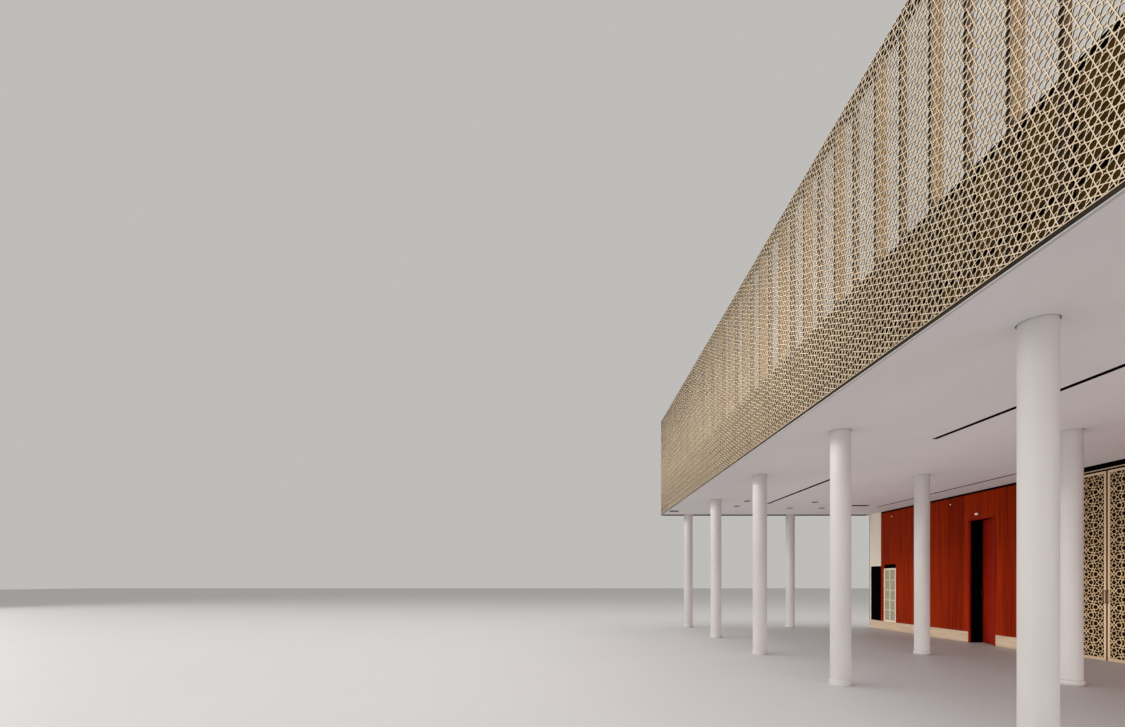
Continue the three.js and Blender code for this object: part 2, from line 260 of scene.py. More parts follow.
looks = {
    "columnPaint": {"tones": ((0.63, 0.60, 0.585), (0.69, 0.66, 0.64)), "grain": (1.5, 1.5, 0.6),
                    "roughness": (0.5, 0.62), "bump": ((60, 60, 60), 0.0006)},
    # The lip is the soffit's plaster painted darker, as painted shade
    "lipShadedPlaster": {"tones": ((0.44, 0.42, 0.41), (0.48, 0.46, 0.45)), "grain": (0.5, 0.35, 1),
                 "roughness": (0.7, 0.85), "bump": ((25, 25, 25), 0.0006)},
    "soffitPaint": {"tones": ((0.66, 0.63, 0.63), (0.70, 0.67, 0.67)), "grain": (0.5, 0.35, 1),
                    "roughness": (0.7, 0.85), "bump": ((25, 25, 25), 0.0006)},
    "wallPaint": {"tones": ((0.70, 0.66, 0.61), (0.76, 0.72, 0.67)), "grain": (0.7, 0.7, 0.7),
                  "roughness": (0.7, 0.85), "bump": ((40, 40, 40), 0.001)},
    "endPaint": {"tones": ((0.93, 0.82, 0.68), (0.97, 0.89, 0.76)), "grain": (2, 7, 0.5),
                 "roughness": (0.55, 0.7), "bump": ((40, 40, 6), 0.0006)},
    "screed": {"tones": ((0.41, 0.39, 0.365), (0.455, 0.435, 0.405)), "grain": (5, 5, 5), "detail": 12,
               "roughness": (0.75, 0.9), "bump": ((90, 90, 90), 0.0015)},
    # The star lattice's dark tone is painted shade for its cut faces
    "paleGold": {"tones": ((0.70, 0.55, 0.38), (0.79, 0.64, 0.45)), "grain": (3, 3, 3),
                 "roughness": (0.42, 0.55), "metallic": 0.2, "specular": 0.3, "cut": (0.016, 0.010, 0.005),
                 "bump": ((300, 300, 300), 0.0002)},
    "darkBronze": {"tones": ((0.014, 0.009, 0.004), (0.028, 0.018, 0.008)), "grain": (2, 5, 2),
                   "roughness": (0.45, 0.6), "metallic": 0.2, "specular": 0.12,
                   "bump": ((150, 150, 150), 0.0003)},
    "uprightSide": {"tones": ((0.17, 0.085, 0.040), (0.24, 0.125, 0.060)), "grain": (2, 2, 1),
                    "roughness": (0.5, 0.6), "metallic": 0.2, "bump": ((150, 150, 150), 0.0003)},
    "finGold": {"tones": ((0.50, 0.30, 0.13), (0.64, 0.42, 0.21)), "grain": (3, 3, 1),
                "roughness": (0.4, 0.5), "metallic": 0.3, "bump": ((150, 150, 150), 0.0003)},
    "guardBronze": {"tones": ((0.052, 0.026, 0.004), (0.100, 0.054, 0.010)), "grain": (1, 2.2, 3),
                    "roughness": (0.55, 0.7), "metallic": 0.2, "specular": 0.04,
                    "bump": ((120, 120, 120), 0.0003)},
    "roseGold": {"tones": ((0.87, 0.61, 0.40), (0.94, 0.71, 0.48)), "grain": (4, 4, 1),
                 "roughness": (0.35, 0.48), "metallic": 0.3, "bump": ((200, 200, 20), 0.0002)},
    # The door lattice's dark tone is painted shade for its cut faces
    "doorGold": {"tones": ((0.73, 0.50, 0.275), (0.83, 0.61, 0.345)), "grain": (4, 4, 4),
                 "roughness": (0.4, 0.5), "metallic": 0.2, "cut": (0.05, 0.025, 0.011),
                 "bump": ((200, 200, 200), 0.0002)},
    # The door pulls: rose gold darkened to brown by painted shade for the shadow they cast
    "shadedPullGold": {"tones": ((0.17, 0.09, 0.04), (0.27, 0.155, 0.075)), "grain": (6, 6, 2),
                 "roughness": (0.35, 0.48), "metallic": 0.3, "bump": ((200, 200, 20), 0.0002)},
    "blackVoid": {"tones": ((0.0012, 0.001, 0.001), (0.003, 0.0025, 0.0025)), "grain": (3, 3, 3),
                  "roughness": (0.85, 0.95), "specular": 0, "bump": ((80, 80, 80), 0.0004)},
    "doorBacking": {"tones": ((0.008, 0.003, 0.0015), (0.016, 0.007, 0.003)), "grain": (3, 9, 1),
                    "roughness": (0.6, 0.75), "specular": 0.06, "bump": ((80, 80, 80), 0.0004)},
    "redVeneer": {"tones": ((0.185, 0.010, 0.0006), (0.365, 0.027, 0.0012)), "grain": (18, 18, 0.55),
                  "detail": 6, "contrast": (0.28, 0.72), "roughness": (0.55, 0.68), "specular": 0.03,
                  "wear": (8, 8, 0.6), "bump": ((140, 140, 3), 0.0005), "boards": (1, 0.65, 1.7, 0.22)},
    "redTrim": {"tones": ((0.225, 0.007, 0.0018), (0.35, 0.0155, 0.0035)), "grain": (30, 30, 0.8),
                "detail": 6, "roughness": (0.45, 0.58), "specular": 0.06, "bump": ((140, 140, 3), 0.0004)},
    "creamStone": {"tones": ((0.58, 0.42, 0.27), (0.69, 0.54, 0.38)), "grain": (3, 1.2, 14), "detail": 8,
                   "roughness": (0.35, 0.5), "bump": ((40, 12, 120), 0.0006), "boards": (1, 1.2, 1.7, 0.1)},
    "creamPaint": {"tones": ((0.88, 0.74, 0.56), (0.93, 0.81, 0.64)), "grain": (2, 2, 2),
                   "roughness": (0.4, 0.5), "bump": ((100, 100, 100), 0.0003)},
    "greyPane": {"tones": ((0.42, 0.37, 0.25), (0.54, 0.48, 0.34)), "grain": (4, 12, 12),
                 "roughness": (0.25, 0.4), "bump": ((60, 60, 60), 0.0003)},
    "lampGlow": {"tones": ((0.8, 0.72, 0.6), (0.85, 0.78, 0.68)), "grain": (8, 8, 8),
                 "roughness": (0.4, 0.5), "bump": ((60, 60, 60), 0.0002), "glow": (1, 0.82, 0.6),
                 "glowStrength": 0.15},
}
paint = {name: makeMaterial(name, look) for name, look in looks.items()}
print("materials ready")


# Lattice of eight-pointed stars: four straight bars for each star, clipped to panels three stars wide.
# The first panel is two stars wide and the last one four. Each section runs from one joint to another.
star = {"repeat": 0.15, "phase": (0.005, -0.0025), "bar": 0.0062, "front": 0.0002, "back": 0.0090,
        "joint": 0.001, "margin": 0.001, "edge": 0.006, "stepBack": 0.0001}
panelWidth = 3 * star["repeat"]
panelCount = round(2 * halfLength / panelWidth)
sections = [(0, 8), (8, 16), (16, 25), (25, 33), (33, 41)]


def jointY(index):
    if index == 0:
        return -halfLength
    if index == panelCount:
        return halfLength
    return -halfLength + 2 * star["repeat"] + (index - 1) * panelWidth


def clipped(corners, axis, limit, keepBelow):
    def inside(corner):
        return corner[axis] <= limit if keepBelow else corner[axis] >= limit

    kept = []
    for i, corner in enumerate(corners):
        before = corners[i - 1]
        if inside(corner) != inside(before):
            share = (limit - before[axis]) / (corner[axis] - before[axis])
            kept.append(tuple(before[k] + share * (corner[k] - before[k]) for k in (0, 1)))
        if inside(corner):
            kept.append(corner)
    return kept


def starBars(columns, rows):
    r = star["repeat"] / 2
    short = r * (2 * math.sqrt(2) - 2)
    half = star["bar"] / 2
    bars = []
    for i in range(-2, 2 * columns + 3):
        for j in range(-2, 2 * rows + 3):
            if (i + j) % 2 == 0:
                continue
            middle = (r * i + star["phase"][0], r * j + star["phase"][1])
            along = (2 * r, short) if i % 2 == 0 else (short, 2 * r)
            for sign in (1, -1):
                reach = (along[0], sign * along[1])
                length = math.hypot(*reach)
                grow = 1 + half / length
                across = (-reach[1] / length * half, reach[0] / length * half)
                ends = [(middle[0] - reach[0] * grow, middle[1] - reach[1] * grow),
                        (middle[0] + reach[0] * grow, middle[1] + reach[1] * grow)]
                corners = [(ends[0][0] - across[0], ends[0][1] - across[1]),
                           (ends[1][0] - across[0], ends[1][1] - across[1]),
                           (ends[1][0] + across[0], ends[1][1] + across[1]),
                           (ends[0][0] + across[0], ends[0][1] + across[1])]
                bars.append((corners, (i % 2) * 2 + (sign > 0)))
    return bars


def makeStarPanel(columns):
    height = screenTop - slabBottom
    rows = round(height / star["repeat"])
    low, high = star["joint"] / 2, columns * star["repeat"] - star["joint"] / 2
    bottom, top = star["margin"], height - star["margin"]
    bm = bmesh.new()
    for corners, kind in starBars(columns, rows):
        for axis, limit, below in ((0, high, True), (0, low, False), (1, top, True), (1, bottom, False)):
            corners = clipped(corners, axis, limit, below) if len(corners) > 2 else []
        if len(corners) < 3:
            continue
        step = star["stepBack"] * (kind + 1)
        addPrism(bm, [(side(star["front"] + step), y, slabBottom + z) for y, z in corners],
                 (star["back"] - star["front"] - 2 * step, 0, 0))
    for zs in ((slabBottom, slabBottom + star["edge"]), (screenTop - star["edge"], screenTop)):
        addBlock(bm, (side(star["front"]), side(star["back"])), (low, high), zs)
    bmesh.ops.recalc_face_normals(bm, faces=bm.faces)
    mesh = bpy.data.meshes.new("starPanel")
    bm.to_mesh(mesh)
    bm.free()
    return mesh


starPanels = {columns: makeStarPanel(columns) for columns in (2, 3, 4)}
for number, (first, last) in enumerate(sections, 1):
    bm = bmesh.new()
    for joint in range(first, last):
        start = len(bm.verts)
        bm.from_mesh(starPanels[round((jointY(joint + 1) - jointY(joint)) / star["repeat"])])
        bm.verts.ensure_lookup_table()
        bmesh.ops.translate(bm, verts=bm.verts[start:], vec=(0, jointY(joint), 0))
    # Painted shade on the bars' cut faces, darkest on those that look down
    finishPiece(bm, f"star_lattice_{number}", paint["paleGold"], cutEdges=0.93,
                instead=[f"screen_lattice_{number}"])
for starPanel in starPanels.values():
    bpy.data.meshes.remove(starPanel)
print("lattice ready")

# Screen frame: uprights at every joint, deep gold fins above the guard at every second one. The uprights'
# near-black front strips are partly dark bronze and partly painted shade for their place behind the
# lattice; their bars are brown
upright = {"width": 0.038, "beyondJoint": 0.015, "front": 0.0095, "back": 0.0695, "strip": 0.004,
           "bar": 0.030, "inset": 0.001, "bevel": 0.001, "stripBevel": 0.0008}
fin = {"width": 0.014, "back": 0.128, "inset": 0.0005, "belowTop": 0.002}
rail = {"height": 0.040, "inset": 0.001, "bevel": 0.001}
cap = {"overlap": 0.002, "reach": 0.020, "belowTop": (0.012, 0.002)}  # thin plate behind the top rail
guard = {"front": 0.0703, "plate": 0.012, "back": 0.1697, "reveal": 0.085, "lowReveal": (4.235, 4.305),
         "topBand": 0.100, "lap": 0.001, "plateBevel": 0.0015}
guardLining = {"depth": 0.004, "proud": 0.0002, "inset": 0.002, "aboveFloor": 0.0005, "bevel": 0.001}


def uprightY(joint):
    half = upright["width"] / 2
    if joint in (0, panelCount):
        return jointY(joint) + (half if joint == 0 else -half)
    return jointY(joint) + upright["beyondJoint"]


for number, (first, last) in enumerate(sections, 1):
    frameShape, barShape, finShape = bmesh.new(), bmesh.new(), bmesh.new()
    isLast = last == panelCount
    ys = (jointY(first), halfLength if isLast else uprightY(last) - upright["width"] / 2 - fit)
    for joint in range(first, last + (1 if isLast else 0)):
        near, far = uprightY(joint) - upright["width"] / 2, uprightY(joint) + upright["width"] / 2
        strip = upright["front"] + upright["strip"]
        addBlock(frameShape, (side(upright["front"]), side(strip)), (near, far), (slabBottom, screenTop),
                 upright["stripBevel"])
        hasFin = joint == 0 or joint % 2 == 1
        zs = (slabBottom + rail["height"], guardTop if hasFin else screenTop - rail["height"])
        barStart, finStart = near + upright["inset"], near + fin["inset"]
        addBlock(barShape, (side(strip), side(upright["back"])), (barStart, barStart + upright["bar"]), zs,
                 upright["bevel"])
        if hasFin:
            addBlock(finShape, (side(strip), side(fin["back"])), (finStart, finStart + fin["width"]),
                     (guardTop + fit, screenTop - fin["belowTop"]), upright["bevel"])
    railY = (ys[0] + rail["inset"], ys[1] - rail["inset"])
    for zs, back in (((slabBottom, slabBottom + rail["height"]), guard["front"] - rail["inset"]),
                     ((screenTop - rail["height"], screenTop - rail["inset"]), upright["back"])):
        addBlock(frameShape, (side(upright["front"] + rail["inset"]), side(back)), railY, zs, rail["bevel"])
    addBlock(frameShape, (side(upright["back"] - cap["overlap"]), side(fin["back"] + cap["reach"])), railY,
             tuple(screenTop - drop for drop in cap["belowTop"]), rail["bevel"])
    finishPiece(frameShape, f"screen_uprights_{number}", paint["darkBronze"],
                instead=[f"screen_frame_{number}"])
    finishPiece(barShape, f"screen_bars_{number}", paint["uprightSide"])
    finishPiece(finShape, f"screen_fins_{number}", paint["finGold"])

# Guard: bronze plates on a backing painted black, a painted shade that shows as reveals between them
backing, plates = bmesh.new(), bmesh.new()
addBlock(backing, (side(guard["front"] + guard["plate"]), side(guard["back"])), (-halfLength, halfLength),
         (slabBottom, guardTop))
for joint in range(panelCount):
    ys = (uprightY(joint) + guard["reveal"] / 2 if joint else -halfLength,
          uprightY(joint + 1) - guard["reveal"] / 2 if joint + 1 < panelCount else halfLength)
    xs = (side(guard["front"]), side(guard["front"] + guard["plate"] + guard["lap"]))
    for zs in ((slabBottom + guard["lap"], guard["lowReveal"][0]),
               (guard["lowReveal"][1], guardTop - guard["topBand"])):
        addBlock(plates, xs, ys, zs, guard["plateBevel"])
finishPiece(backing, "guard_reveal_shadow", paint["blackVoid"], instead=["edge_guard"])
finishPiece(plates, "guard_plates", paint["guardBronze"])
guardBack = bmesh.new()
xs = (side(guard["back"] - guardLining["depth"]), side(guard["back"] + guardLining["proud"]))
inset = guardLining["inset"]
addBlock(guardBack, xs, (inset - halfLength, halfLength - inset),
         (floorTop + guardLining["aboveFloor"], guardTop - inset), guardLining["bevel"])
finishPiece(guardBack, "guard_back_lining", paint["guardBronze"])

# Edge of the slab: a dark strip with the ceiling's plaster turned up behind it; the turned-up lip is
# painted darker than the soffit, as painted shade against the light it faces
edgeStrip = {"bottom": 3.962, "depth": 0.030, "lipSetBack": 0.0012, "lipGap": 0.0002, "bevel": 0.001}
strip, lip = bmesh.new(), bmesh.new()
addBlock(strip, (frontX, side(edgeStrip["depth"])), (-halfLength, halfLength),
         (edgeStrip["bottom"], slabBottom - fit), edgeStrip["bevel"])
addBlock(lip, (side(edgeStrip["lipSetBack"]), side(edgeStrip["depth"])), (-halfLength, halfLength),
         (soffitZ, edgeStrip["bottom"] - edgeStrip["lipGap"]), edgeStrip["bevel"])
finishPiece(strip, "edge_strip", paint["darkBronze"], instead=["edge_fascia"])
finishPiece(lip, "edge_lip", paint["lipShadedPlaster"])
print("screen frame and guard ready")

# Ceiling lining with its air slots and grilles, each a span in x and one in y, and its downlights
columnRows, columnSpacing = (0.930, 4.520), 3.6
columnY = [(k - 2.5) * columnSpacing for k in range(6)]
slots = [((2.665, 2.755), (-5.72, -1.32)), ((2.665, 2.755), (1.82, 6.22)), ((6.395, 6.465), (1.22, 6.97))]
grilles = [((5.445, 5.975), (6.485, 6.735)), ((0.075, 0.375), (7.800, 8.080))]
downlights = [(1.940, 6.720), (1.910, 5.660), (3.780, 7.190), (3.980, 5.870), (4.800, 7.190)]
downlightRadius = 0.100
soffit = {"xs": (side(0.0303), side(7.2997)), "end": halfLength - 0.355, "gapHeight": 0.001,
          "columnHole": 0.162, "holeSides": 64}
bm = bmesh.new()
loops = [rectangle(soffit["xs"], (-halfLength, soffit["end"]), soffitZ)]
loops += [circle(side(x), y, soffitZ, soffit["columnHole"], soffit["holeSides"])
          for x in columnRows for y in columnY]
loops += [rectangle((side(xs[0]), side(xs[1])), ys, soffitZ) for xs, ys in slots + grilles]
loops += [circle(side(x), y, soffitZ, downlightRadius) for x, y in downlights]
addPlate(bm, loops, (0, 0, slabBottom - fit - soffitZ))
finishPiece(bm, "soffit_lining", paint["soffitPaint"], instead=["ceiling_lining"])
# A black plate beyond the lining's end paints the shade of the gap at the ceiling's far end
bm = bmesh.new()
gapZ = soffitZ + soffit["gapHeight"]
addPlate(bm, [rectangle(soffit["xs"], (soffit["end"] + fit, halfLength), gapZ)],
         (0, 0, slabBottom - fit - gapZ))
finishPiece(bm, "soffit_end_shadow", paint["blackVoid"])

# Each slot and grille has a thin dark lining on four sides and above, and blades that run along it
lined = {"wall": 0.0012, "top": 0.003, "aboveTop": 0.0005}
slotBlade = {"apart": 0.028, "half": 0.002, "endGap": 0.002, "heights": (0.008, 0.034), "bevel": 0.0008}
grilleBlade = {"apart": 0.025, "half": 0.0015, "endGap": 0.002, "heights": (0.003, 0.020), "bevel": 0.0006}


def addBlade(bm, x, ys, blade):
    addBlock(bm, (x - blade["half"], x + blade["half"]), (ys[0] + blade["endGap"], ys[1] - blade["endGap"]),
             tuple(soffitZ + height for height in blade["heights"]), blade["bevel"])


trim, blades, lamps = bmesh.new(), bmesh.new(), bmesh.new()
for xs, ys in slots + grilles:
    x0, x1, y0, y1 = side(xs[0]), side(xs[1]), *ys
    wall, liningTop = lined["wall"], slabBottom - lined["top"]
    addBlock(trim, (x0 + fit, x1 - fit), (y0 + fit, y1 - fit), (liningTop, slabBottom - lined["aboveTop"]))
    for pair in ((x0 + fit, x0 + wall), (x1 - wall, x1 - fit)):
        addBlock(trim, pair, (y0 + fit, y1 - fit), (soffitZ, liningTop))
    for pair in ((y0 + fit, y0 + wall), (y1 - wall, y1 - fit)):
        addBlock(trim, (x0 + wall, x1 - wall), pair, (soffitZ, liningTop))
for xs, ys in slots:
    for share in (-0.5, 0.5):
        addBlade(blades, side(sum(xs) / 2) + share * slotBlade["apart"], ys, slotBlade)
for xs, ys in grilles:
    count = round((xs[1] - xs[0]) / grilleBlade["apart"])
    for i in range(1, count):
        addBlade(blades, side(xs[0] + (xs[1] - xs[0]) * i / count), ys, grilleBlade)
finishPiece(trim, "slot_linings", paint["blackVoid"])
finishPiece(blades, "slot_blades", paint["blackVoid"])
cans = bmesh.new()
r = downlightRadius
can = {"sides": 40, "profile": [(r - 0.001, -0.001), (r - 0.012, 0.020), (r - 0.022, 0.044), (0, 0.044),
                                (0, 0.048), (r - 0.001, 0.048), (r - 0.001, -0.001)]}
bulb = {"sides": 24, "profile": [(0, 0.038), (0.020, 0.038), (0.024, 0.043), (0, 0.0435)]}
for x, y in downlights:
    for mesh, turnedPart in ((cans, can), (lamps, bulb)):
        profile = [(radius, soffitZ + height) for radius, height in turnedPart["profile"]]
        addTurned(mesh, profile, side(x), y, turnedPart["sides"])
finishPiece(cans, "downlight_cans", paint["blackVoid"], smooth=True)
finishPiece(lamps, "downlight_lamps", paint["darkBronze"], smooth=True)
print("ceiling ready")

# Columns: smooth shafts on low collars, each with its head in a shadow gap
column = {"radius": 0.150, "collar": 0.165, "collarHeight": 0.080, "sides": 72, "rings": (1, 2, 3)}
r, c, h = column["radius"], column["collar"], column["collarHeight"]
foot = [(0, 0), (c, 0), (c, h - 0.008), (c - 0.002, h - 0.003), (c - 0.007, h), (r + 0.002, h + 0.001),
        (r, h + 0.003)]
shaft = [(r, ring) for ring in column["rings"]] + [(r, slabBottom - fit), (0, slabBottom - fit)]
for rowName, x in zip(("front", "rear"), columnRows):
    for number, y in enumerate(columnY, 1):
        bm = bmesh.new()
        addTurned(bm, foot + shaft, side(x), y, column["sides"])
        finishPiece(bm, f"{rowName}_shaft_{number}", paint["columnPaint"], smooth=True,
                    instead=[f"{rowName}_column_{number}"])
print("columns ready")

# Side wall: veneered boards with fine joints, cut round the doorway and the two low panels
cladFace, cladBack = side(7.260), side(7.2997)
cladBottom, cladTop = 0.2803, soffitZ - 0.055
board = {"width": 0.65, "joint": 0.002, "bevel": 0.001, "origin": 1.7 - 20 * 0.65, "nearEnd": -8.91}
gapDepth = {"overPanel": 0.002, "overBoards": 0.030}
doorway = {"y": (3.230, 4.150), "top": 3.250}
airPanel = {"y": (7.360, 8.030), "top": 2.040, "gap": 0.130, "gapLift": 0.001, "border": 0.055,
            "middle": 0.040, "setBack": 0.004, "railSetBack": 0.0005, "rows": 5, "bar": 0.024,
            "bevel": 0.002}
pane = {"pitch": 0.030, "gap": 0.004, "setBack": 0.010, "bevel": 0.001, "backing": (0.006, 0.001)}
wallEnd = {"start": 8.200, "gap": 8.878, "end": 8.910, "panelEnd": 8.820, "panelTop": 2.130,
           "jointSetBack": 0.004, "bevel": 0.001}
latticeDoorway = {"y": (-0.372, 1.700), "top": 3.930}
holes = [(doorway["y"], doorway["top"]), (airPanel["y"], airPanel["top"] + airPanel["gap"])]


def addBoards(bm, start, end):
    cuts = {start, end}
    step = board["origin"]
    while step < end:
        if step > start:
            cuts.add(step)
        step += board["width"]
    for (y0, y1), _ in holes:
        cuts |= {y for y in (y0 - fit, y1 + fit) if start < y < end}
    ordered = sorted(cuts)
    for y0, y1 in zip(ordered, ordered[1:]):
        middle = (y0 + y1) / 2
        bottom = cladBottom
        for (low, high), top in holes:
            if low - fit < middle < high + fit:
                bottom = top + fit
        ys = (y0 + board["joint"] / 2, y1 - board["joint"] / 2)
        addBlock(bm, (cladFace, cladBack), ys, (bottom, cladTop), board["bevel"])


nearSpan = (board["nearEnd"], latticeDoorway["y"][0])
farSpan = (latticeDoorway["y"][1], wallEnd["start"])
for name, start, end in (("near", *nearSpan), ("far", farSpan[0], farSpan[1] - fit)):
    bm = bmesh.new()
    addBoards(bm, start, end)
    finishPiece(bm, f"red_boards_{name}", paint["redVeneer"],
                instead=[f"red_cladding_{name}"])
# Black plates set back in the gap over the air panel and above the boards paint the shade in these gaps
bm = bmesh.new()
addBlock(bm, (cladBack - gapDepth["overPanel"], cladBack), airPanel["y"],
         (airPanel["top"] + airPanel["gapLift"], airPanel["top"] + airPanel["gap"]))
for start, end in (nearSpan, farSpan):
    addBlock(bm, (cladBack - gapDepth["overBoards"], cladBack), (start + fit, end - fit),
             (cladTop + fit, soffitZ - fit))
finishPiece(bm, "cladding_gap_shadows", paint["blackVoid"])

# Pale lining at the wall's far end, with a black panel low down, and a black strip at its edge that paints
# the shade of the joint there
bm, joint = bmesh.new(), bmesh.new()
xs = (cladFace, cladBack)
split = wallEnd["panelTop"] + fit
addBlock(bm, xs, (wallEnd["start"], wallEnd["gap"]), (split, soffitZ - fit), wallEnd["bevel"])
addBlock(bm, xs, (wallEnd["panelEnd"] + fit, wallEnd["gap"]), (cladBottom, split), wallEnd["bevel"])
addBlock(joint, (xs[0] + wallEnd["jointSetBack"], xs[1]), (wallEnd["gap"] + fit, wallEnd["end"]),
         (cladBottom, soffitZ - fit))
finishPiece(bm, "end_boards", paint["endPaint"], instead=["end_lining"])
finishPiece(joint, "end_joint_shadow", paint["blackVoid"])

# Air panel: cream frame with a middle bar and five rows, and thin grey slats behind them
bm, panes = bmesh.new(), bmesh.new()
y0, y1 = airPanel["y"]
border, bevel = airPanel["border"], airPanel["bevel"]
zs = (cladBottom, airPanel["top"])
innerY, innerZ = (y0 + border, y1 - border), (zs[0] + border, zs[1] - border)
for ys in ((y0, innerY[0]), (innerY[1], y1)):
    addBlock(bm, (cladFace, cladBack), ys, zs, bevel)
barX = (cladFace + airPanel["setBack"], cladBack)
centre, half = (y0 + y1) / 2, airPanel["middle"] / 2
addBlock(bm, barX, (centre - half, centre + half), innerZ, bevel)
for pair in ((zs[0], innerZ[0]), (innerZ[1], zs[1])):
    addBlock(bm, (cladFace + airPanel["railSetBack"], cladBack), innerY, pair, bevel)
for row in range(1, airPanel["rows"]):
    z = innerZ[0] + (zs[1] - zs[0] - 2 * border) * row / airPanel["rows"]
    addBlock(bm, barX, innerY, (z - airPanel["bar"] / 2, z + airPanel["bar"] / 2), bevel)
z = innerZ[0]
while z + pane["pitch"] < innerZ[1]:
    addBlock(panes, (cladFace + pane["setBack"], cladBack - pane["setBack"]), innerY,
             (z + pane["gap"], z + pane["pitch"] - pane["gap"]), pane["bevel"])
    z += pane["pitch"]
addBlock(panes, tuple(cladBack - depth for depth in pane["backing"]), innerY, innerZ)
finishPiece(bm, "air_panel_frame", paint["creamPaint"], instead=["air_panel"])
finishPiece(panes, "air_panel_slats", paint["greyPane"])

# Small lights on the cladding
wallLights = [
    {"y": (4.804, 4.836), "z": (3.714, 3.746), "proud": 0.018, "bevel": 0.005},
    {"y": (7.554, 7.586), "z": (3.714, 3.746), "proud": 0.018, "bevel": 0.005},
    {"y": (3.800, 3.880), "z": (3.325, 3.375), "proud": 0.035, "bevel": 0.008},
]
lightGap = 0.0005
bm = bmesh.new()
for light in wallLights:
    xs = (cladFace - light["proud"], cladFace - lightGap)
    addBlock(bm, xs, light["y"], light["z"], light["bevel"])
finishPiece(bm, "wall_lights", paint["lampGlow"])
print("side wall ready")

# Red doorway: raised surround, black sheets inside the wall's thickness that paint the shade of the
# opening, veneered leaf
lining = {"width": 0.040, "front": 7.250, "back": 7.660, "bevel": 0.003}
skin = {"half": 0.002, "hingeFront": 7.360, "freeFront": 7.300, "backGap": 0.001}
bm = bmesh.new()
xs, top = (side(lining["front"]), side(lining["back"])), doorway["top"]
inner = (doorway["y"][0] + lining["width"], doorway["y"][1] - lining["width"])
addBlock(bm, xs, (doorway["y"][0] + fit, inner[0]), (0, top - fit), lining["bevel"])
addBlock(bm, xs, (inner[1], doorway["y"][1] - fit), (0, top - fit), lining["bevel"])
addBlock(bm, (xs[0] + fit, xs[1] - fit), inner, (top - lining["width"], top - fit), lining["bevel"])
finishPiece(bm, "red_door_lining", paint["redTrim"], instead=["red_door_surround"])
bm = bmesh.new()
top, half = doorway["top"] - lining["width"], skin["half"]
xs = (side(skin["hingeFront"]), side(lining["back"] - skin["backGap"]))
addBlock(bm, (side(skin["freeFront"]), xs[1]), (inner[1] - half, inner[1] + half), (0, top))
addBlock(bm, xs, (inner[0] - half, inner[0] + half), (0, top))
addBlock(bm, xs, inner, (top - half, top + half))
finishPiece(bm, "doorway_painted_shade", paint["blackVoid"])

# Lattice doors: rose gold surround with a black head that paints the shadow in the gap above the doors, and
# a fine lattice on each dark panel
surround = {"jamb": 0.060, "front": 7.500, "back": 7.660, "bevel": 0.002}
head = {"trim": 0.017, "trimProud": 0.001, "trimBevel": 0.001, "coverProud": 0.002, "coverInset": 0.0005}
bm = bmesh.new()
jamb, top = surround["jamb"], latticeDoorway["top"]
xs = (side(surround["front"]), side(surround["back"]))
ys = latticeDoorway["y"]
inner = (ys[0] + jamb, ys[1] - jamb)
for pair in ((ys[0] + fit, inner[0]), (inner[1], ys[1] - fit)):
    addBlock(bm, xs, pair, (0, top - fit), surround["bevel"])
finishPiece(bm, "lattice_door_jambs", paint["roseGold"], instead=["lattice_door_surround"])
headBottom = top - jamb
headMiddle = headBottom + head["trim"]
headShadow, trim = bmesh.new(), bmesh.new()
addBlock(trim, (xs[0] - head["trimProud"], xs[1]), inner, (headBottom, headMiddle), head["trimBevel"])
addBlock(headShadow, xs, inner, (headMiddle, top - fit))
inset = head["coverInset"]
addBlock(headShadow, (xs[0] - head["coverProud"], xs[0] - fit), (ys[0] + inset, ys[1] - inset),
         (headMiddle, slabBottom - inset))
finishPiece(trim, "lattice_door_head_trim", paint["roseGold"])
finishPiece(headShadow, "lattice_door_head_shadow", paint["blackVoid"])

# Door leaves: a framed plate cut with six-pointed stars, chevrons and nine-sided holes on a hexagonal grid
leaf = {"rail": 0.055, "topRail": 0.044, "topShadow": 0.033, "topGap": 0.006, "bottom": 0.012,
        "rebate": 0.012, "gap": 0.005, "depth": 0.060, "inset": 0.005, "plate": 0.004, "rim": 0.004,
        "bevel": 0.002}
shadowStrips = {"top": 0.004, "edge": 0.008, "back": 0.002}
doorStar = {"pitch": 0.3367, "stretch": 1.03, "first": 0.1405, "top": 3.6076, "tip": 0.0590, "waist": 0.034,
            "nonagon": 0.0465, "ranks": (-1, 5), "rows": (-12, 3), "weld": 1e-5,
            "kite": ((0.0535, -0.019), (0.078, -0.030), (0.111, 0), (0.078, 0.030), (0.0535, 0.019)),
            "chevron": ((0.085, 0), (0.107, -0.054), (0.153, -0.050), (0.129, 0), (0.153, 0.050),
                        (0.107, 0.054)),
            "diamond": (0.026, 0.021)}


def turned(points, degrees, centre=(0, 0)):
    c, s = math.cos(math.radians(degrees)), math.sin(math.radians(degrees))
    return [(centre[0] + c * r - s * t, centre[1] + s * r + c * t) for r, t in points]


